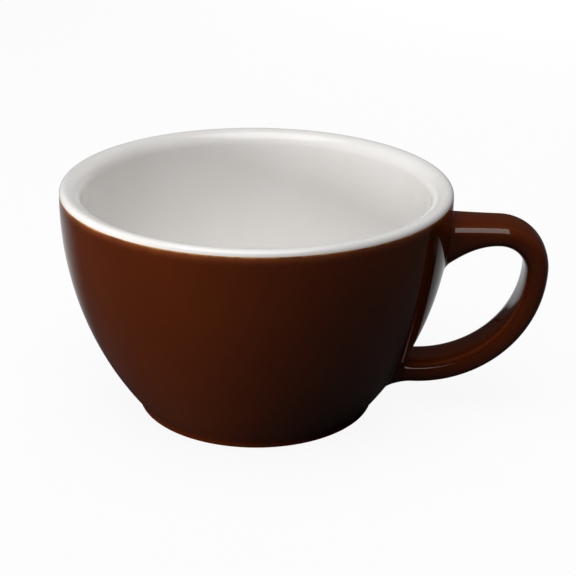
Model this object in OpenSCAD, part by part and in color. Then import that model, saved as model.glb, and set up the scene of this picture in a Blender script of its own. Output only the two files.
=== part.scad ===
// Latte cup in glazed porcelain: a thick-walled bowl on a low foot ring, and an ear-shaped handle
// that is cast by itself and stuck to the bowl with slip. White glaze lines the bowl and rolls over
// the lip; brown glaze coats the outside, the handle and the recess under the foot.
// Millimetres, +Z up, the origin at the centre of the foot ring's base, the handle towards +X.

/* [Bowl] */
// Outside diameter of the lip
rim_d = 112.8; // [106:0.2:120]
// Height from the table to the top of the lip
cup_h = 67.9; // [61:0.1:75]
// Thickness of the wall and of the rounded lip
wall_t = 6; // [5:0.1:7]
// Radius of the lip's outer rounding; the rest of its thickness is the softer inner rounding
lip_outer_r = 1.7; // [1.2:0.1:2.4]
// Radius of the one arc that the outside of the wall follows
wall_arc_r = 97; // [90:0.5:110]
// Thickness of the floor above the foot's recess
floor_t = 5; // [4:0.1:7]
// Radius that rounds the inside of the wall into the floor
floor_fillet_r = 30; // [22:0.5:34]

/* [Foot] */
// Outside diameter of the foot ring
foot_d = 70.8; // [66:0.2:78]
// Height at which the line of the wall runs into the foot's upright side
foot_h = 1.7; // [1.6:0.1:3]
// Radius of the cove that softens that corner
foot_cove_r = 2; // [1:0.1:2.4]
// Width of the ring that stands on the table
foot_ring_w = 5; // [4:0.1:7]
// Radius of the foot ring's two lower edges
foot_edge_r = 0.7; // [0.5:0.1:0.8]
// Depth of the recess under the foot
recess_h = 2.5; // [2.1:0.1:4]
// Radius between the recess's ceiling and its side
recess_fillet_r = 1.2; // [0.5:0.1:1.4]

/* [Glaze] */
// Thickness of each glaze coat
glaze_t = 0.3; // [0.2:0.05:0.5]
// Height above the table at which the glaze stops on the foot
bare_foot_h = 0.25; // [0.15:0.05:0.4]
// Angle up round the lip at which the brown glaze meets the white
lip_seam_angle = 5; // [2:1:50]

/* [Handle] */
// How far the strap's centre line along the top lies below the lip
strap_drop = 11.8; // [9:0.1:15]
// Distance from the cup's axis to the strap's centre line at the far side
strap_reach = 81.3; // [77:0.1:90]
// Radius of the bend from the top of the strap to its far side
strap_bend_r = 11; // [9:0.1:15]
// Height of the strap's centre line where it comes back to the bowl
strap_low_z = 11.9; // [11:0.1:16]
// Distance from the axis at which the strap's lower sweep is level
strap_low_x = 47; // [45:0.1:52]
// Width of the strap across the fingers
strap_w = 16; // [12:0.1:18]
// Thickness of the strap
strap_t = 7.1; // [5.5:0.1:8]
// How far the underside swells where the strap's top end meets the bowl
upper_swell = 7.3; // [3:0.1:9]
// How far the underside swells where the strap's lower end meets the bowl
lower_swell = 2.4; // [0.5:0.1:3.4]
// How much wider each end of the strap is at the bowl
end_flare_w = 1.8; // [0:0.1:5]

/* [Slip joints] */
// Thickness of the slip between the handle and the bowl
slip_t = 0.8; // [0.5:0.1:1.1]
// How far the bead of slip spreads past the handle's end
slip_bead = 1.2; // [0.9:0.1:1.5]

/* [Hidden] */
$fn = 96;

porcelain = "#f1ede4";
white_glaze = "#f6f5f2";
brown_glaze = "#4a1c0e";
slip_white = "#e6dfd2";

// Steps along the bowl's long arcs, its floor fillet and its lip
wall_steps = 20;
fillet_steps = 14;
lip_steps = 10;
edge_steps = 4;
// Facets round the strap, and rings along each of its stretches
strap_sides = 28;
top_rings = 10;
bend_rings = 9;
sweep_rings = 18;
end_rings = 3;
bead_rings = 4;
// Exponent of the strap's section, between an ellipse (2) and a rectangle
section_power = 2.8;

rim_r = rim_d / 2;
foot_r = foot_d / 2;
recess_r = foot_r - foot_ring_w;
floor_z = recess_h + floor_t;
lip_inner_r = wall_t - lip_outer_r;
strap_top_z = cup_h - strap_drop;

// A run of points on an arc about centre, from angle a0 to a1
function arc(centre, r, a0, a1, steps) =
    [for (i = [0 : steps]) let (a = a0 + (a1 - a0) * i / steps) centre + r * [cos(a), sin(a)]];
function reversed(points) = [for (i = [len(points) - 1 : -1 : 0]) points[i]];
// The points after the first, for a run that carries on from the last point of another
function onward(points) = [for (i = [1 : len(points) - 1]) points[i]];

// The wall's arc passes through the lip's widest point and the top of the foot's side
wall_top = [rim_r, cup_h - lip_outer_r];
wall_foot = [foot_r, foot_h];
wall_chord = wall_foot - wall_top;
wall_side = [wall_chord[1], -wall_chord[0]] / norm(wall_chord);
wall_c = (wall_top + wall_foot) / 2 + wall_side * sqrt(pow(wall_arc_r, 2) - pow(norm(wall_chord) / 2, 2));

// The lip's tight outer rounding and its softer inner one meet at the top of the lip
lip_a = asin((cup_h - lip_outer_r - wall_c[1]) / (wall_arc_r - lip_outer_r));
lip_c = wall_c + (wall_arc_r - lip_outer_r) * [cos(lip_a), sin(lip_a)];
seam_a = lip_a + lip_seam_angle;
inner_lip_c = [lip_c[0], cup_h - lip_inner_r];
inner_lip_a = atan2(inner_lip_c[1] - wall_c[1], inner_lip_c[0] - wall_c[0]);
inside_arc_r = norm(inner_lip_c - wall_c) - lip_inner_r;

// The floor's fillet touches the floor and the inside of the wall
fillet_z = floor_z + floor_fillet_r;
fillet_x = wall_c[0] + sqrt(pow(inside_arc_r - floor_fillet_r, 2) - pow(wall_c[1] - fillet_z, 2));
fillet_c = [fillet_x, fillet_z];
fillet_a = atan2(fillet_z - wall_c[1], fillet_x - wall_c[0]);

// The foot's cove touches the wall's arc and the foot's upright side
cove_x = foot_r + foot_cove_r;
cove_c = [cove_x, wall_c[1] - sqrt(pow(wall_arc_r + foot_cove_r, 2) - pow(cove_x - wall_c[0], 2))];
cove_a = atan2(cove_c[1] - wall_c[1], cove_c[0] - wall_c[0]);

// The glaze stops part of the way round the foot ring's lower edges, clear of the table
edge_c = [foot_r - glaze_t - foot_edge_r, foot_edge_r];
recess_edge_c = [recess_r + glaze_t + foot_edge_r, foot_edge_r];
stop_a = asin((foot_edge_r - bare_foot_h) / (foot_edge_r + glaze_t));
recess_c = [recess_r - recess_fillet_r, recess_h - recess_fillet_r];

// Outlines of the cup's surface, taken in by depth: 0 is the glaze, glaze_t the porcelain under it
function outside_wall(depth) =
    concat(arc(edge_c, foot_edge_r + glaze_t - depth, -stop_a, 0, edge_steps),
           arc(cove_c, foot_cove_r + depth, 180, cove_a + 180, edge_steps),
           onward(arc(wall_c, wall_arc_r - depth, cove_a, lip_a, wall_steps)),
           onward(arc(lip_c, lip_outer_r - depth, lip_a, seam_a, 2)));
function inside_wall(depth) =
    concat(arc(lip_c, lip_outer_r - depth, seam_a, 90, lip_steps),
           onward(arc(inner_lip_c, lip_inner_r - depth, 90, 180 + inner_lip_a, lip_steps)),
           onward(arc(wall_c, inside_arc_r + depth, inner_lip_a, fillet_a, wall_steps)),
           onward(arc(fillet_c, floor_fillet_r + depth, fillet_a, -90, fillet_steps)),
           [[0, floor_z - depth]]);
function recess(depth) =
    concat([[0, recess_h + depth]],
           arc(recess_c, recess_fillet_r + depth, 90, 0, edge_steps),
           arc(recess_edge_c, foot_edge_r + glaze_t - depth, 180, 180 + stop_a, edge_steps));

// Distance from the axis to the glazed outside of the wall at height z
function wall_x(z) = wall_c[0] + sqrt(pow(wall_arc_r, 2) - pow(z - wall_c[1], 2));
// Where a point beside the handle's plane lies on the porcelain, at depth under the glaze
function on_wall(y, z, depth) = [sqrt(pow(wall_x(z) - depth, 2) - y * y), y, z];

module spun(outline) {
    rotate_extrude() polygon(outline);
}

// Porcelain body: wall, rounded lip, floor and foot ring in one casting
module bowl() {
    bare_ring = concat(
        onward(arc(recess_edge_c, foot_edge_r, 180 + stop_a, 270, edge_steps)),
        arc(edge_c, foot_edge_r, 270, 360 - stop_a, edge_steps));
    color(porcelain) spun(concat(recess(glaze_t), bare_ring, onward(outside_wall(glaze_t)),
                                 onward(inside_wall(glaze_t))));
}

// White glaze: the floor, the inside of the wall and the top of the lip
module inner_glaze() {
    color(white_glaze) spun(concat(reversed(inside_wall(glaze_t)), inside_wall(0)));
}

// Brown glaze on the outside of the bowl, open where the handle is stuck on
module outer_glaze() {
    color(brown_glaze) difference() {
        spun(concat(outside_wall(0), reversed(outside_wall(glaze_t))));
        joint_window(upper_end);
        joint_window(lower_end);
    }
}

// Brown glaze in the recess under the foot; the ring that stands on the table stays bare
module base_glaze() {
    color(brown_glaze) spun(concat(recess(0), reversed(recess(glaze_t))));
}

// One point of the strap's section: across the strap, then towards the finger gap
function section_point(i, half_w, half_outer, half_inner) =
    let (a = 360 * i / strap_sides, c = cos(a), s = sin(a), p = 2 / section_power,
         across = half_w * sign(c) * pow(abs(c), p), through = sign(s) * pow(abs(s), p))
    [across, through * (through > 0 ? half_inner : half_outer)];

// Each end of the strap: where its straight stretch begins, the height of its centre line, which
// way up its finger gap is, and how far its inner and outer sides swell at the wall
upper_end = [strap_reach - strap_bend_r, strap_top_z, -1, upper_swell, 0];
lower_end = [strap_low_x, strap_low_z, 1, 0, lower_swell];

// A stretch's place runs from 0 at the wall to 1 where the straight begins
function end_len(end) = end[0] - wall_x(end[1]);
function bead_place(end, i) = (slip_t + (slip_bead - slip_t) * i / bead_rings) / end_len(end);
function bead_spread(end, place) =
    let (left = max(0, 1 - place * end_len(end) / slip_bead)) slip_bead * (1 - sqrt(1 - left * left));

// A ring of the strap in an end stretch. bead is 1 on the slip's bead and 0 on the handle under it,
// and part less than 1 draws a smaller ring inside the end's face
function end_ring(end, place, inset, bead, depth, part = 1) =
    let (grow = bead * bead_spread(end, place) - inset, swell = pow(1 - place, 2),
         half_w = (strap_w + end_flare_w * swell) / 2 + grow,
         half_outer = strap_t / 2 + end[4] * swell + grow,
         half_inner = strap_t / 2 + end[3] * swell + grow)
    [for (i = [0 : strap_sides - 1])
        let (p = part * section_point(i, half_w, half_outer, half_inner), z = end[1] + end[2] * p[1],
             wall = on_wall(p[0], z, depth)[0])
        [wall + place * (end[0] - wall), p[0], z]];

// A ring of the strap between its ends; inner points from the centre line into the finger gap
function strap_ring(centre, inner, inset) =
    [for (i = [0 : strap_sides - 1])
        let (p = section_point(i, strap_w / 2 - inset, strap_t / 2 - inset, strap_t / 2 - inset))
        [centre[0] + inner[0] * p[1], p[0], centre[1] + inner[1] * p[1]]];

bend_c = [strap_reach - strap_bend_r, strap_top_z - strap_bend_r];
sweep_c = [strap_low_x, bend_c[1]];
sweep_a = strap_reach - strap_low_x;
sweep_b = bend_c[1] - strap_low_z;

// The bend is a quarter circle, and the sweep below it a quarter ellipse
function bend_ring(a, inset) =
    strap_ring(bend_c + strap_bend_r * [cos(a), sin(a)], -[cos(a), sin(a)], inset);
function sweep_ring(a, inset) =
    let (out = [sweep_b * cos(a), sweep_a * sin(a)])
    strap_ring(sweep_c + [sweep_a * cos(a), sweep_b * sin(a)], -out / norm(out), inset);

// Rings of an end from the top of the bead to the straight, or of the bead itself from the slip up
function stretch_rings(end, rings, inset) =
    [for (i = [1 : rings])
        let (from = bead_place(end, bead_rings), place = from + (1 - from) * i / rings)
        end_ring(end, place, inset, 0, inset)];
function bead_face(end, inset, bead) =
    [for (i = [0 : bead_rings]) end_ring(end, bead_place(end, i), inset, bead, inset)];
function face_rings(end, place, bead) =
    [for (i = [1 : end_rings - 1]) end_ring(end, place, glaze_t, bead, glaze_t, i / end_rings)];

// The strap between the two beads of slip
function strap_rings(inset) =
    concat(stretch_rings(upper_end, top_rings, inset),
           [for (i = [1 : bend_rings]) bend_ring(90 - 90 * i / bend_rings, inset)],
           [for (i = [1 : sweep_rings - 1]) sweep_ring(-90 * i / sweep_rings, inset)],
           reversed(stretch_rings(lower_end, end_rings, inset)));

// A solid skinned over rings of equal count: closed by a fan at each end, or joined end to end
module skinned(rings, joined = false) {
    count = len(rings);
    points = [for (ring = rings) each ring];
    centres = [for (ring = [rings[0], rings[count - 1]])
                  let (sum = [for (p = ring) 1] * ring) sum / strap_sides];
    sides = [for (j = [0 : joined ? count - 1 : count - 2], i = [0 : strap_sides - 1])
                let (a = j * strap_sides, b = (j + 1) % count * strap_sides, k = (i + 1) % strap_sides)
                each [[a + i, a + k, b + k], [a + i, b + k, b + i]]];
    first = count * strap_sides;
    last = (count - 1) * strap_sides;
    fans = [for (i = [0 : strap_sides - 1])
               let (k = (i + 1) % strap_sides)
               each [[first, k, i], [first + 1, last + i, last + k]]];
    polyhedron(joined ? points : concat(points, centres), joined ? sides : concat(sides, fans));
}

// The opening in the bowl's brown glaze under one end of the handle
module joint_window(end) {
    outline = [for (p = end_ring(end, 0, 0, 1, 0)) [p[1], p[2]]];
    rotate([90, 0, 90]) linear_extrude(rim_d) polygon(outline);
}

// Porcelain strap, from the slip at its top end round to the slip at its lower end
module handle() {
    color(porcelain) skinned(concat(
        face_rings(upper_end, bead_place(upper_end, 0), 0),
        bead_face(upper_end, glaze_t, 0),
        strap_rings(glaze_t),
        reversed(bead_face(lower_end, glaze_t, 0)),
        reversed(face_rings(lower_end, bead_place(lower_end, 0), 0))));
}

// Slip between one end of the handle and the bowl, with the bead wiped round the seam
module slip_joint(end) {
    seat = concat(
        face_rings(end, 0, 1),
        [end_ring(end, 0, glaze_t, 1, glaze_t)],
        bead_face(end, glaze_t, 1),
        [for (i = [bead_rings - 1 : -1 : 0]) end_ring(end, bead_place(end, i), glaze_t, 0, glaze_t)],
        reversed(face_rings(end, bead_place(end, 0), 0)));
    color(slip_white) skinned(end[2] < 0 ? seat : reversed(seat));
}
module upper_slip_joint() { slip_joint(upper_end); }
module lower_slip_joint() { slip_joint(lower_end); }

// Brown glaze over the strap and both beads, its two rims standing on the bowl's porcelain
module handle_glaze() {
    function rim(end) = [end_ring(end, 0, 0, 1, glaze_t), end_ring(end, 0, 0, 1, 0)];
    outer = concat(rim(upper_end), bead_face(upper_end, 0, 1), strap_rings(0),
                   reversed(bead_face(lower_end, 0, 1)), reversed(rim(lower_end)));
    inner = concat([end_ring(upper_end, 0, glaze_t, 1, glaze_t)], bead_face(upper_end, glaze_t, 1),
                   strap_rings(glaze_t), reversed(bead_face(lower_end, glaze_t, 1)),
                   [end_ring(lower_end, 0, glaze_t, 1, glaze_t)]);
    color(brown_glaze) skinned(concat(outer, reversed(inner)), true);
}

bowl();
inner_glaze();
outer_glaze();
base_glaze();
handle();
upper_slip_joint();
lower_slip_joint();
handle_glaze();
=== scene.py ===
"""A glazed porcelain latte cup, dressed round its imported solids. Metres, +Z up, the handle towards +X."""

from math import asin, atan2, cos, pi, radians, sin, sqrt

import bpy
from mathutils import Matrix, Vector


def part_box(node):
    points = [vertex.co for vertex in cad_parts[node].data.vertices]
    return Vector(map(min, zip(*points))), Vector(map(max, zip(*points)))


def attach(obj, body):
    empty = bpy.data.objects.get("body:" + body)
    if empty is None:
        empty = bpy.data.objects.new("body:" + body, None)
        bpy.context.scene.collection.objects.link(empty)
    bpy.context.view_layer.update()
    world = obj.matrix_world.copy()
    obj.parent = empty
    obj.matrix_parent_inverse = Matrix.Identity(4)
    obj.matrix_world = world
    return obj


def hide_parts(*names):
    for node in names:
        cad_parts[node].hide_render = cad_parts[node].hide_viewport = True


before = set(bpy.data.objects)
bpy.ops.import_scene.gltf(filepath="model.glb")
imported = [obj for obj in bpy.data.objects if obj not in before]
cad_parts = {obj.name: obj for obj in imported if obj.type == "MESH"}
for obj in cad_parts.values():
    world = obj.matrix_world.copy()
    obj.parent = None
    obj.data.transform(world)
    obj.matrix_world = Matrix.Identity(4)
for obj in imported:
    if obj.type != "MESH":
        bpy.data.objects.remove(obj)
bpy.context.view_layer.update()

# Bowl. The cup's body is porcelain, slip-cast in one piece with its foot ring and fired twice.
# Glaze hides it all but for the ring it stands on, which is wiped bare before the firing
# so that the cup doesn't stick to the kiln shelf. The strap and its slip are of the same clay.
MM = 0.001
BISQUE_HEX = "#e4ddd0"
BISQUE_SPECK_HEX = "#c9bda9"
BISQUE_GRIT = 0.35 * MM
GRIT_RELIEF = 0.03 * MM
BISQUE_ROUGH_MIN, BISQUE_ROUGH_MAX = 0.68, 0.82


def colour(hex_text):
    """An sRGB hex colour as linear red, green, blue and alpha."""
    parts = [int(hex_text[i : i + 2], 16) / 255 for i in (1, 3, 5)]
    return [p / 12.92 if p <= 0.04045 else ((p + 0.055) / 1.055) ** 2.4 for p in parts] + [1.0]


def add(tree, kind, inputs=None, **settings):
    """A new node in tree. inputs gives each input's value, or the output that is linked to it."""
    made = tree.nodes.new(kind)
    for name, value in settings.items():
        setattr(made, name, value)
    for name, value in (inputs or {}).items():
        if isinstance(value, bpy.types.NodeSocket):
            tree.links.new(value, made.inputs[name])
        else:
            made.inputs[name].default_value = value
    return made


# Fired porcelain without glaze: dry and matt, with a grit that shows as faint specks. The real
# grit is finer, and is drawn this coarse so that it shows.
porcelain = bpy.data.materials.new("bare_fired_porcelain")
porcelain.use_nodes = True
tree = porcelain.node_tree
shader = tree.nodes["Principled BSDF"]
place = add(tree, "ShaderNodeTexCoord").outputs["Object"]
grit = add(tree, "ShaderNodeTexNoise", {"Vector": place, "Scale": 1 / BISQUE_GRIT, "Detail": 3.0})
speck = add(tree, "ShaderNodeMapRange", {"Value": grit.outputs["Fac"], "From Min": 0.45, "From Max": 0.75})
tint = add(tree, "ShaderNodeMix", {"Factor": speck.outputs["Result"], "A": colour(BISQUE_HEX),
                                   "B": colour(BISQUE_SPECK_HEX)}, data_type="RGBA")
dry = add(tree, "ShaderNodeMapRange", {"Value": grit.outputs["Fac"], "To Min": BISQUE_ROUGH_MIN,
                                       "To Max": BISQUE_ROUGH_MAX})
bump = add(tree, "ShaderNodeBump", {"Height": grit.outputs["Fac"], "Strength": 0.2, "Distance": GRIT_RELIEF})
tree.links.new(tint.outputs["Result"], shader.inputs["Base Color"])
tree.links.new(dry.outputs["Result"], shader.inputs["Roughness"])
tree.links.new(bump.outputs["Normal"], shader.inputs["Normal"])
shader.inputs["IOR"].default_value = 1.5
for node in ("bowl", "handle", "upper_slip_joint", "lower_slip_joint"):
    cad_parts[node].data.materials.clear()
    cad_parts[node].data.materials.append(porcelain)

# White glaze. A clear glaze over white clay, poured into the bowl and out again, so that it
# lines the floor and the wall in one even coat and rolls over the lip to its outer edge.
# The lip has a tight outer rounding and a softer inner one, which meet at its top.
RIM_R = 56.4 * MM
CUP_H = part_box("inner_glaze")[1].z
WALL_T = 6 * MM
WALL_ARC_R = 97 * MM
LIP_OUTER_R = 1.7 * MM
LIP_INNER_R = WALL_T - LIP_OUTER_R
LIP_SEAM = radians(5)
FOOT_R = 35.4 * MM
FOOT_H = 1.7 * MM
GLAZE_T = 0.3 * MM
FLOOR_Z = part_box("inner_glaze")[0].z + GLAZE_T
FLOOR_FILLET_R = 30 * MM
STEPS_ROUND = 256
OUTER_LIP_STEPS, INNER_LIP_STEPS, INSIDE_STEPS, FILLET_STEPS = 14, 20, 30, 30
SHARP_ANGLE = radians(35)
WHITE_HEX = "#f1efed"
WHITE_POOL_HEX = "#eae7e4"
WHITE_CLOUD = 18 * MM
WHITE_RIPPLE = 4 * MM
RIPPLE_RELIEF = 0.1 * MM
WHITE_ROUGH_MIN, WHITE_ROUGH_MAX = 0.1, 0.16


def arc(centre, r, start, end, steps):
    """Points on an arc in the profile's plane, as distance from the axis and height."""
    angles = [start + (end - start) * i / steps for i in range(steps + 1)]
    return [Vector((centre.x + r * cos(a), centre.y + r * sin(a))) for a in angles]


# The wall follows one arc, through the lip's widest point and the top of the foot's side.
wall_top, wall_foot = Vector((RIM_R, CUP_H - LIP_OUTER_R)), Vector((FOOT_R, FOOT_H))
chord = wall_foot - wall_top
inward = Vector((chord.y, -chord.x)).normalized()
wall_c = (wall_top + wall_foot) / 2 + inward * sqrt(WALL_ARC_R**2 - chord.length_squared / 4)
lip_a = asin((CUP_H - LIP_OUTER_R - wall_c.y) / (WALL_ARC_R - LIP_OUTER_R))
lip_c = wall_c + (WALL_ARC_R - LIP_OUTER_R) * Vector((cos(lip_a), sin(lip_a)))
seam_a = lip_a + LIP_SEAM
inner_lip_c = Vector((lip_c.x, CUP_H - LIP_INNER_R))
inner_lip_a = atan2(inner_lip_c.y - wall_c.y, inner_lip_c.x - wall_c.x)
inside_r = (inner_lip_c - wall_c).length - LIP_INNER_R
fillet_z = FLOOR_Z + FLOOR_FILLET_R
fillet_x = wall_c.x + sqrt((inside_r - FLOOR_FILLET_R) ** 2 - (wall_c.y - fillet_z) ** 2)
fillet_c = Vector((fillet_x, fillet_z))
fillet_a = atan2(fillet_c.y - wall_c.y, fillet_c.x - wall_c.x)


def inside_line(depth):
    """The lip and the inside of the bowl down to the axis, at a depth under the glaze's surface."""
    return (arc(lip_c, LIP_OUTER_R - depth, seam_a, pi / 2, OUTER_LIP_STEPS)
            + arc(inner_lip_c, LIP_INNER_R - depth, pi / 2, pi + inner_lip_a, INNER_LIP_STEPS)[1:]
            + arc(wall_c, inside_r + depth, inner_lip_a, fillet_a, INSIDE_STEPS)[1:]
            + arc(fillet_c, FLOOR_FILLET_R + depth, fillet_a, -pi / 2, FILLET_STEPS)[1:]
            + [Vector((0, FLOOR_Z - depth))])


# One tree turns any coat: it takes the coat's profile, and spins it about the cup's axis.
spin = bpy.data.node_groups.new("spin_profile", "GeometryNodeTree")
spin.is_modifier = True
spin.interface.new_socket("Geometry", in_out="INPUT", socket_type="NodeSocketGeometry")
steps_in = spin.interface.new_socket("Steps Round", in_out="INPUT", socket_type="NodeSocketInt")
count_in = spin.interface.new_socket("Profile Points", in_out="INPUT", socket_type="NodeSocketInt")
sharp_in = spin.interface.new_socket("Sharp Angle", in_out="INPUT", socket_type="NodeSocketFloat")
finish_in = spin.interface.new_socket("Material", in_out="INPUT", socket_type="NodeSocketMaterial")
spin.interface.new_socket("Geometry", in_out="OUTPUT", socket_type="NodeSocketGeometry")
given = add(spin, "NodeGroupInput").outputs
columns = add(spin, "ShaderNodeMath", {0: given["Steps Round"], 1: 1.0}, operation="ADD")
sheet = add(spin, "GeometryNodeMeshGrid", {"Size X": 1.0, "Size Y": 1.0, "Vertices X": columns.outputs[0],
                                           "Vertices Y": given["Profile Points"]})
spot = add(spin, "ShaderNodeSeparateXYZ", {0: add(spin, "GeometryNodeInputPosition").outputs[0]})
turn = add(spin, "ShaderNodeMapRange", {"Value": spot.outputs["X"], "From Min": -0.5, "From Max": 0.5,
                                        "To Max": 2 * pi})
last = add(spin, "ShaderNodeMath", {0: given["Profile Points"], 1: 1.0}, operation="SUBTRACT")
along = add(spin, "ShaderNodeMapRange", {"Value": spot.outputs["Y"], "From Min": -0.5, "From Max": 0.5,
                                         "To Max": last.outputs[0]})
row = add(spin, "FunctionNodeFloatToInt", {0: along.outputs[0]}, rounding_mode="ROUND")
point = add(spin, "GeometryNodeSampleIndex",
            {"Geometry": given["Geometry"], "Value": add(spin, "GeometryNodeInputPosition").outputs[0],
             "Index": row.outputs[0]}, data_type="FLOAT_VECTOR", domain="POINT")
turned = add(spin, "ShaderNodeVectorRotate", {"Vector": point.outputs[0], "Angle": turn.outputs[0]},
             rotation_type="Z_AXIS")
shaped = add(spin, "GeometryNodeSetPosition", {"Geometry": sheet.outputs["Mesh"],
                                               "Position": turned.outputs[0]})
closed = add(spin, "GeometryNodeMergeByDistance", {"Geometry": shaped.outputs[0], "Distance": 0.001 * MM})
smooth = add(spin, "GeometryNodeSetShadeSmooth", {"Geometry": closed.outputs[0], "Shade Smooth": True})
bend = add(spin, "GeometryNodeInputMeshEdgeAngle").outputs["Unsigned Angle"]
corner = add(spin, "FunctionNodeCompare", {0: bend, 1: given["Sharp Angle"]}, operation="GREATER_THAN")
crisp = add(spin, "GeometryNodeSetShadeSmooth",
            {"Geometry": smooth.outputs[0], "Selection": corner.outputs[0], "Shade Smooth": False},
            domain="EDGE")
real = add(spin, "GeometryNodeRealizeInstances", {"Geometry": crisp.outputs[0]})
coated = add(spin, "GeometryNodeSetMaterial", {"Geometry": real.outputs[0], "Material": given["Material"]})
add(spin, "NodeGroupOutput", {"Geometry": coated.outputs[0]})


def spun_coat(name, profile, material):
    """A closed coat of glaze, spun from a closed profile, as a plain mesh object."""
    loop = profile + profile[:1]
    mesh = bpy.data.meshes.new(name)
    mesh.from_pydata([(p.x, 0, p.y) for p in loop], [(i, i + 1) for i in range(len(loop) - 1)], [])
    source = bpy.data.objects.new(name + "_profile", mesh)
    bpy.context.scene.collection.objects.link(source)
    modifier = source.modifiers.new("spin", "NODES")
    modifier.node_group = spin
    modifier[steps_in.identifier] = STEPS_ROUND
    modifier[count_in.identifier] = len(loop)
    modifier[sharp_in.identifier] = SHARP_ANGLE
    modifier[finish_in.identifier] = material
    graph = bpy.context.evaluated_depsgraph_get()
    coat = bpy.data.objects.new(name, bpy.data.meshes.new_from_object(source.evaluated_get(graph)))
    bpy.data.objects.remove(source)
    bpy.context.scene.collection.objects.link(coat)
    return coat


# Clear glaze on white porcelain: glass-smooth and slightly warm, a touch greyer where it pools.
white_glaze = bpy.data.materials.new("clear_glaze_on_white_porcelain")
white_glaze.use_nodes = True
tree = white_glaze.node_tree
shader = tree.nodes["Principled BSDF"]
place = add(tree, "ShaderNodeTexCoord").outputs["Object"]
cloud = add(tree, "ShaderNodeTexNoise", {"Vector": place, "Scale": 1 / WHITE_CLOUD, "Detail": 2.0})
tint = add(tree, "ShaderNodeMix", {"Factor": cloud.outputs["Fac"], "A": colour(WHITE_HEX),
                                   "B": colour(WHITE_POOL_HEX)}, data_type="RGBA")
gloss = add(tree, "ShaderNodeMapRange", {"Value": cloud.outputs["Fac"], "To Min": WHITE_ROUGH_MIN,
                                         "To Max": WHITE_ROUGH_MAX})
ripple = add(tree, "ShaderNodeTexNoise", {"Vector": place, "Scale": 1 / WHITE_RIPPLE, "Detail": 1.0})
bump = add(tree, "ShaderNodeBump", {"Height": ripple.outputs["Fac"], "Strength": 0.08,
                                    "Distance": RIPPLE_RELIEF})
tree.links.new(tint.outputs["Result"], shader.inputs["Base Color"])
tree.links.new(gloss.outputs["Result"], shader.inputs["Roughness"])
tree.links.new(bump.outputs["Normal"], shader.inputs["Normal"])
shader.inputs["IOR"].default_value = 1.5

inner_coat = spun_coat("inner_coat", inside_line(0) + inside_line(GLAZE_T)[::-1], white_glaze)
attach(inner_coat, "root")
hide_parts("inner_glaze")

# Brown glaze on the bowl. The cup is dipped up to the edge of its lip in an iron-brown glaze,
# which runs over the foot's soft cove and stops part of the way round the foot's lower edge,
# just clear of the table. It thins to rust and amber where it meets the white; that band is
# also a painted highlight, for light on the lip's outer rounding.
FOOT_COVE_R = 2 * MM
FOOT_EDGE_R = 0.7 * MM
BARE_FOOT_H = 0.25 * MM
EDGE_STEPS, COVE_STEPS, OUTSIDE_STEPS, SEAM_STEPS = 6, 12, 60, 3
BROWN_HEX = "#592407"
BROWN_DEEP_HEX = "#4b1b07"
RUST_HEX = "#96502c"
AMBER_HEX = "#cf9450"
RUST_BAND = 3 * MM
RUST_FADE = 2.5
AMBER_BAND = 0.5 * MM
SEAM_WAVER = 4 * MM
SEAM_DRIFT = 0.4 * MM
BROWN_CLOUD = 22 * MM
ORANGE_PEEL = 3.5 * MM
PEEL_RELIEF = 0.1 * MM
BROWN_ROUGH_MIN, BROWN_ROUGH_MAX = 0.04, 0.08
seam_z = lip_c.y + LIP_OUTER_R * sin(seam_a)
cove_x = FOOT_R + FOOT_COVE_R
cove_c = Vector((cove_x, wall_c.y - sqrt((WALL_ARC_R + FOOT_COVE_R) ** 2 - (cove_x - wall_c.x) ** 2)))
cove_a = atan2(cove_c.y - wall_c.y, cove_c.x - wall_c.x)
edge_c = Vector((FOOT_R - GLAZE_T - FOOT_EDGE_R, FOOT_EDGE_R))
stop_a = asin((FOOT_EDGE_R - BARE_FOOT_H) / (FOOT_EDGE_R + GLAZE_T))


def outside_line(depth):
    """The outside of the bowl, from where the glaze stops on the foot to the lip's seam."""
    return (arc(edge_c, FOOT_EDGE_R + GLAZE_T - depth, -stop_a, 0, EDGE_STEPS)
            + arc(cove_c, FOOT_COVE_R + depth, pi, cove_a + pi, COVE_STEPS)
            + arc(wall_c, WALL_ARC_R - depth, cove_a, lip_a, OUTSIDE_STEPS)[1:]
            + arc(lip_c, LIP_OUTER_R - depth, lip_a, seam_a, SEAM_STEPS)[1:])


# Iron-brown glaze: a clear, deep gloss, uneven by a shade over a few centimetres, with a faint
# orange peel. It breaks to rust and amber where it is thin, at the lip and along the strap's edges,
# and these lighter bands also stand in as painted highlights on the lip's rounding and the strap's edges.
brown_glaze = bpy.data.materials.new("iron_brown_gloss_glaze")
brown_glaze.use_nodes = True
tree = brown_glaze.node_tree
shader = tree.nodes["Principled BSDF"]
place = add(tree, "ShaderNodeTexCoord").outputs["Object"]
cloud = add(tree, "ShaderNodeTexNoise", {"Vector": place, "Scale": 1 / BROWN_CLOUD, "Detail": 3.0})
body = add(tree, "ShaderNodeMix", {"Factor": cloud.outputs["Fac"], "A": colour(BROWN_HEX),
                                   "B": colour(BROWN_DEEP_HEX)}, data_type="RGBA")
height = add(tree, "ShaderNodeSeparateXYZ", {0: place}).outputs["Z"]
waver = add(tree, "ShaderNodeTexNoise", {"Vector": place, "Scale": 1 / SEAM_WAVER, "Detail": 2.0})
drift = add(tree, "ShaderNodeMapRange", {"Value": waver.outputs["Fac"], "To Min": -SEAM_DRIFT,
                                         "To Max": SEAM_DRIFT})
wavy_height = add(tree, "ShaderNodeMath", {0: height, 1: drift.outputs[0]}, operation="ADD")
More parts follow.
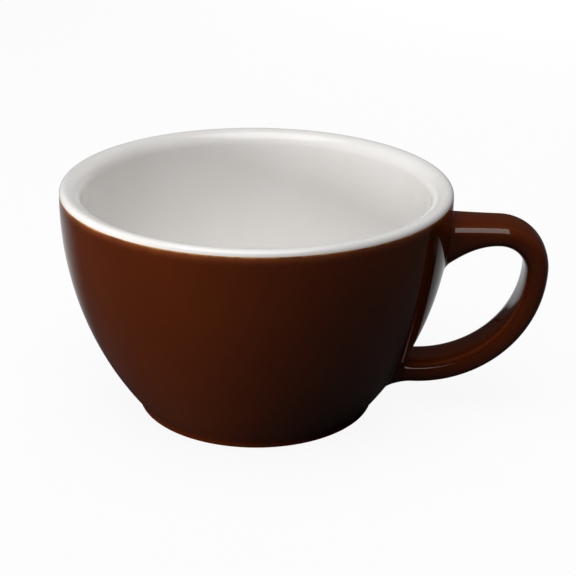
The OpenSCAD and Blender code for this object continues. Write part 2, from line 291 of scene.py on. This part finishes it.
# Painted highlight: the rust band under the seam is partly glaze breaking thin and partly light on the lip's
# rounding.
near = add(tree, "ShaderNodeMapRange", {"Value": wavy_height.outputs[0], "From Min": seam_z - RUST_BAND,
                                        "From Max": seam_z})
seam_break_light = add(tree, "ShaderNodeMath", {0: near.outputs[0], 1: RUST_FADE}, operation="POWER")
# The strap's edge tint: partly thin glaze, partly a painted highlight along its edges.
edge = add(tree, "ShaderNodeAttribute", attribute_name="thin_edge_and_highlight")
break_and_highlight = add(tree, "ShaderNodeMath", {0: seam_break_light.outputs[0], 1: edge.outputs["Fac"]}, operation="MAXIMUM")
broken_and_lit = add(tree, "ShaderNodeMix", {"Factor": break_and_highlight.outputs[0], "A": body.outputs["Result"],
                                     "B": colour(RUST_HEX)}, data_type="RGBA")
# Painted highlight: the amber line at the seam stands partly for light on the lip's rounding.
amber_seam_light = add(tree, "ShaderNodeMapRange", {"Value": wavy_height.outputs[0], "From Min": seam_z - AMBER_BAND,
                                          "From Max": seam_z}, interpolation_type="SMOOTHSTEP")
tint = add(tree, "ShaderNodeMix", {"Factor": amber_seam_light.outputs[0], "A": broken_and_lit.outputs["Result"],
                                   "B": colour(AMBER_HEX)}, data_type="RGBA")
gloss = add(tree, "ShaderNodeMapRange", {"Value": cloud.outputs["Fac"], "To Min": BROWN_ROUGH_MIN,
                                         "To Max": BROWN_ROUGH_MAX})
peel = add(tree, "ShaderNodeTexNoise", {"Vector": place, "Scale": 1 / ORANGE_PEEL, "Detail": 1.0})
bump = add(tree, "ShaderNodeBump", {"Height": peel.outputs["Fac"], "Strength": 0.04, "Distance": PEEL_RELIEF})
tree.links.new(tint.outputs["Result"], shader.inputs["Base Color"])
tree.links.new(gloss.outputs["Result"], shader.inputs["Roughness"])
tree.links.new(bump.outputs["Normal"], shader.inputs["Normal"])
shader.inputs["IOR"].default_value = 1.42

outer_coat = spun_coat("outer_coat", outside_line(0) + outside_line(GLAZE_T)[::-1], brown_glaze)
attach(outer_coat, "root")
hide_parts("outer_glaze")

# Recess under the foot. The same brown glaze is brushed into it by hand, up to the ring
# that stays bare, and pools softly in the corner between the ceiling and the ring.
FOOT_RING_W = 5 * MM
RECESS_R = FOOT_R - FOOT_RING_W
RECESS_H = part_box("base_glaze")[1].z - GLAZE_T
RECESS_FILLET_R = 1.2 * MM
RECESS_STEPS = 12
recess_c = Vector((RECESS_R - RECESS_FILLET_R, RECESS_H - RECESS_FILLET_R))
recess_edge_c = Vector((RECESS_R + GLAZE_T + FOOT_EDGE_R, FOOT_EDGE_R))


def recess_line(depth):
    """The recess from the cup's axis to where its glaze stops on the foot ring's inner edge."""
    return ([Vector((0, RECESS_H + depth))]
            + arc(recess_c, RECESS_FILLET_R + depth, pi / 2, 0, RECESS_STEPS)
            + arc(recess_edge_c, FOOT_EDGE_R + GLAZE_T - depth, pi, pi + stop_a, EDGE_STEPS))


base_coat = spun_coat("base_coat", recess_line(0) + recess_line(GLAZE_T)[::-1], brown_glaze)
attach(base_coat, "root")
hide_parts("base_glaze")

# Handle. A porcelain strap is cast by itself, stuck to the bowl with slip at both ends, and dipped
# with the bowl, so that the brown coat runs over the strap and the slip's beads without a seam.
# The strap's section lies between an ellipse (a power of 2) and a rectangle.
STRAP_TOP_Z = CUP_H - 11.8 * MM
STRAP_REACH = 81.3 * MM
STRAP_BEND_R = 11 * MM
STRAP_LOW_Z = 11.9 * MM
STRAP_LOW_X = 47 * MM
STRAP_W = 16 * MM
STRAP_T = 7.1 * MM
UPPER_SWELL = 7.3 * MM
LOWER_SWELL = 2.4 * MM
END_FLARE_W = 1.8 * MM
SLIP_BEAD = 1.2 * MM
OUTER_POWER, INNER_POWER = 2.6, 3.2
STRAP_SIDES = 96
END_RINGS, BEND_RINGS, SWEEP_RINGS = 48, 32, 72

bend_c = Vector((STRAP_REACH - STRAP_BEND_R, STRAP_TOP_Z - STRAP_BEND_R))
sweep_a, sweep_b = STRAP_REACH - STRAP_LOW_X, bend_c.y - STRAP_LOW_Z


def section(half_w, half_outer, half_inner):
    """The strap's section: across it, then towards the finger gap, where its edges are the tighter."""
    points = []
    for i in range(STRAP_SIDES):
        c, s = cos(2 * pi * i / STRAP_SIDES), sin(2 * pi * i / STRAP_SIDES)
        part = 2 / (INNER_POWER if s > 0 else OUTER_POWER)
        across = half_w * abs(c) ** part * (1 if c >= 0 else -1)
        through = abs(s) ** part * (half_inner if s > 0 else -half_outer)
        points.append((across, through))
    return points


def end_ring(straight_x, centre_z, gap_way, swell_inner, swell_outer, place):
    """A ring of an end stretch: place runs from 0 on the bowl's wall to 1 where the straight begins."""
    wall_x = wall_c.x + sqrt(WALL_ARC_R**2 - (centre_z - wall_c.y) ** 2)
    left = max(0, 1 - place * (straight_x - wall_x) / SLIP_BEAD)
    bead, swell = SLIP_BEAD * (1 - sqrt(1 - left * left)), (1 - place) ** 2
    ring = []
    for y, through in section((STRAP_W + END_FLARE_W * swell) / 2 + bead,
                              STRAP_T / 2 + swell_outer * swell + bead,
                              STRAP_T / 2 + swell_inner * swell + bead):
        z = centre_z + gap_way * through
        reach = wall_c.x + sqrt(WALL_ARC_R**2 - (z - wall_c.y) ** 2)
        x = sqrt(reach * reach - y * y)
        ring.append((x + place * (straight_x - x), y, z))
    return ring


def strap_ring(centre, inner):
    """A ring of the strap between its ends; inner points from the centre line into the finger gap."""
    return [(centre.x + inner.x * v, y, centre.y + inner.y * v)
            for y, v in section(STRAP_W / 2, STRAP_T / 2, STRAP_T / 2)]


# The rings lie closer together towards the wall, where the bead of slip curves out.
places = [(i / END_RINGS) ** 2 for i in range(END_RINGS + 1)]
upper = [end_ring(bend_c.x, STRAP_TOP_Z, -1, UPPER_SWELL, 0, p) for p in places]
lower = [end_ring(STRAP_LOW_X, STRAP_LOW_Z, 1, 0, LOWER_SWELL, p) for p in places]

# From its top end the strap follows a quarter circle, then a quarter ellipse back to the bowl.
rings = list(upper)
for i in range(1, BEND_RINGS + 1):
    a = pi / 2 * (1 - i / BEND_RINGS)
    way = Vector((cos(a), sin(a)))
    rings.append(strap_ring(bend_c + STRAP_BEND_R * way, -way))
for i in range(1, SWEEP_RINGS):
    a = -pi / 2 * i / SWEEP_RINGS
    way = Vector((sweep_b * cos(a), sweep_a * sin(a))).normalized()
    rings.append(strap_ring(Vector((STRAP_LOW_X + sweep_a * cos(a), bend_c.y + sweep_b * sin(a))), -way))
rings += lower[::-1]

points = [p for ring in rings for p in ring]
faces = []
for j in range(len(rings) - 1):
    a, b = j * STRAP_SIDES, (j + 1) * STRAP_SIDES
    for i in range(STRAP_SIDES):
        k = (i + 1) % STRAP_SIDES
        faces.append((a + i, b + i, b + k, a + k))
faces.append(tuple(range(STRAP_SIDES)))
faces.append(tuple(reversed(range(len(points) - STRAP_SIDES, len(points)))))
mesh = bpy.data.meshes.new("handle_coat")
mesh.from_pydata(points, [], faces)
mesh.polygons.foreach_set("use_smooth", [True] * (len(faces) - 2) + [False] * 2)
mesh.materials.append(brown_glaze)

# The glaze drains off the strap's four long edges, and is thinnest on the two by the fingers.
# The rust tint along these edges is also a painted highlight, strongest on the two by the fingers.
EDGE_BREAK_LIGHT_INNER, EDGE_BREAK_LIGHT_OUTER = 0.3, 0.08
EDGE_SHARPNESS = 40
edge_break_light = []
for i in range(STRAP_SIDES):
    c, s = cos(2 * pi * i / STRAP_SIDES), sin(2 * pi * i / STRAP_SIDES)
    edge_break_light.append((2 * abs(c * s)) ** EDGE_SHARPNESS * (EDGE_BREAK_LIGHT_INNER if s > 0 else EDGE_BREAK_LIGHT_OUTER))
mesh.attributes.new("thin_edge_and_highlight", "FLOAT", "POINT").data.foreach_set("value", edge_break_light * len(rings))
handle_coat = bpy.data.objects.new("handle_coat", mesh)
bpy.context.scene.collection.objects.link(handle_coat)
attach(handle_coat, "root")
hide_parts("handle_glaze")

# Floor, light and camera. The floor is white to the camera and a dull grey to the light, so that it
# throws little up at the bowl. In the glaze's reflections it is pale only in a soft patch behind the
# cup. It lies a hair under the foot ring, so that the two faces don't share a plane.
FLOOR_HEX = "#4a4a4a"
FLOOR_HALF = 4
FLOOR_GAP = 0.02 * MM
FLOOR_GLOW = 0.92
PATCH_GLOW = 0.62
PATCH_CENTRE = (-14 * MM, 150 * MM, 0)
PATCH_SQUEEZE = (0.7, 1.3, 1)
PATCH_FULL_R, PATCH_END_R = 45 * MM, 150 * MM
corners = [(x * FLOOR_HALF, y * FLOOR_HALF, -FLOOR_GAP) for x, y in ((-1, -1), (1, -1), (1, 1), (-1, 1))]
floor_mesh = bpy.data.meshes.new("floor")
floor_mesh.from_pydata(corners, [], [(0, 1, 2, 3)])
floor_finish = bpy.data.materials.new("matt_white_floor")
floor_finish.use_nodes = True
tree = floor_finish.node_tree
shader = tree.nodes["Principled BSDF"]
shader.inputs["Base Color"].default_value = colour(FLOOR_HEX)
shader.inputs["Roughness"].default_value = 0.9
shader.inputs["Specular IOR Level"].default_value = 0.0
shader.inputs["Emission Color"].default_value = (1, 1, 1, 1)
ray = add(tree, "ShaderNodeLightPath").outputs
place = add(tree, "ShaderNodeTexCoord").outputs["Object"]
wide = add(tree, "ShaderNodeVectorMath", {0: place, 1: PATCH_SQUEEZE}, operation="MULTIPLY").outputs[0]
spread = add(tree, "ShaderNodeVectorMath", {0: wide, 1: PATCH_CENTRE}, operation="DISTANCE").outputs["Value"]
patch = add(tree, "ShaderNodeMapRange",
            {"Value": spread, "From Min": PATCH_FULL_R, "From Max": PATCH_END_R, "To Min": PATCH_GLOW,
             "To Max": 0.0}, interpolation_type="SMOOTHSTEP")
mirrored = add(tree, "ShaderNodeMath", {0: ray["Is Glossy Ray"], 1: patch.outputs[0]}, operation="MULTIPLY")
direct = add(tree, "ShaderNodeMath", {0: ray["Is Camera Ray"], 1: ray["Is Transmission Ray"]},
             operation="MAXIMUM")
seen = add(tree, "ShaderNodeMath", {0: direct.outputs[0], 1: FLOOR_GLOW}, operation="MULTIPLY")
glow = add(tree, "ShaderNodeMath", {0: seen.outputs[0], 1: mirrored.outputs[0]}, operation="MAXIMUM")
tree.links.new(glow.outputs[0], shader.inputs["Emission Strength"])
floor_mesh.materials.append(floor_finish)
floor = bpy.data.objects.new("floor", floor_mesh)
bpy.context.scene.collection.objects.link(floor)

# A softbox overhead lights the inside and the lip and is mirrored in the glaze. A low one at the left
# leaves the bowl's right side dark, and a weaker one stands behind. Each has its place and the point
# that it is aimed at, its width and height in metres, and its power in watts.
for name, place, target, width, height, power in (
    ("overhead_softbox", (-0.06, -0.22, 0.75), (-0.06, 0, 0.03), 0.72, 0.8, 5.4),
    ("left_softbox", (-0.69, -0.37, 0.12), (0, 0, 0.035), 0.5, 0.22, 4.7),
    ("back_softbox", (0.25, 0.8, 0.3), (0, 0, 0.035), 0.5, 0.4, 3.0),
):
    lamp = bpy.data.lights.new(name, "AREA")
    lamp.shape, lamp.size, lamp.size_y, lamp.energy = "RECTANGLE", width, height, power
    box = bpy.data.objects.new(name, lamp)
    box.location = place
    box.rotation_euler = (Vector(target) - Vector(place)).to_track_quat("-Z", "Y").to_euler()
    box.visible_glossy = name == "overhead_softbox"
    bpy.context.scene.collection.objects.link(box)

# The camera sees a white backdrop, and the glaze mirrors a dim room.
ROOM_LIGHT = 0.035
world = bpy.data.worlds.new("studio")
bpy.context.scene.world = world
world.use_nodes = True
tree = world.node_tree
back = tree.nodes["Background"]
ray = add(tree, "ShaderNodeLightPath").outputs
direct = add(tree, "ShaderNodeMath", {0: ray["Is Camera Ray"], 1: ray["Is Transmission Ray"]},
             operation="MAXIMUM")
bright = add(tree, "ShaderNodeMix", {"Factor": direct.outputs[0], "A": ROOM_LIGHT, "B": 1.0})
back.inputs["Color"].default_value = (1, 1, 1, 1)
tree.links.new(bright.outputs["Result"], back.inputs["Strength"])

# The camera looks down on the cup from the front, a little to the handle's side, and is not quite level.
CAMERA_AZIMUTH = radians(4)
CAMERA_ELEVATION = radians(22.77)
CAMERA_ROLL = radians(0.92)
CAMERA_DISTANCE = 400 * MM
CAMERA_LENS_MM, CAMERA_SENSOR_MM = 84.1, 36
AIM_HEIGHT = 34.62 * MM
AIM_RIGHT = 9.36 * MM
side = Vector((cos(CAMERA_AZIMUTH), sin(CAMERA_AZIMUTH), 0))
away = Vector((sin(CAMERA_AZIMUTH) * cos(CAMERA_ELEVATION), -cos(CAMERA_AZIMUTH) * cos(CAMERA_ELEVATION),
               sin(CAMERA_ELEVATION)))
up = away.cross(side)
level_x = cos(CAMERA_ROLL) * side + sin(CAMERA_ROLL) * up
level_y = cos(CAMERA_ROLL) * up - sin(CAMERA_ROLL) * side
eye = side * AIM_RIGHT + Vector((0, 0, AIM_HEIGHT)) + away * CAMERA_DISTANCE
camera = bpy.data.objects.new("camera", bpy.data.cameras.new("camera"))
camera.data.lens, camera.data.sensor_width = CAMERA_LENS_MM, CAMERA_SENSOR_MM
camera.data.clip_start, camera.data.clip_end = 0.01, 20
camera.matrix_world = Matrix.Translation(eye) @ Matrix((level_x, level_y, away)).transposed().to_4x4()
bpy.context.scene.collection.objects.link(camera)
bpy.context.scene.camera = camera
bpy.context.scene.view_settings.view_transform = "Standard"
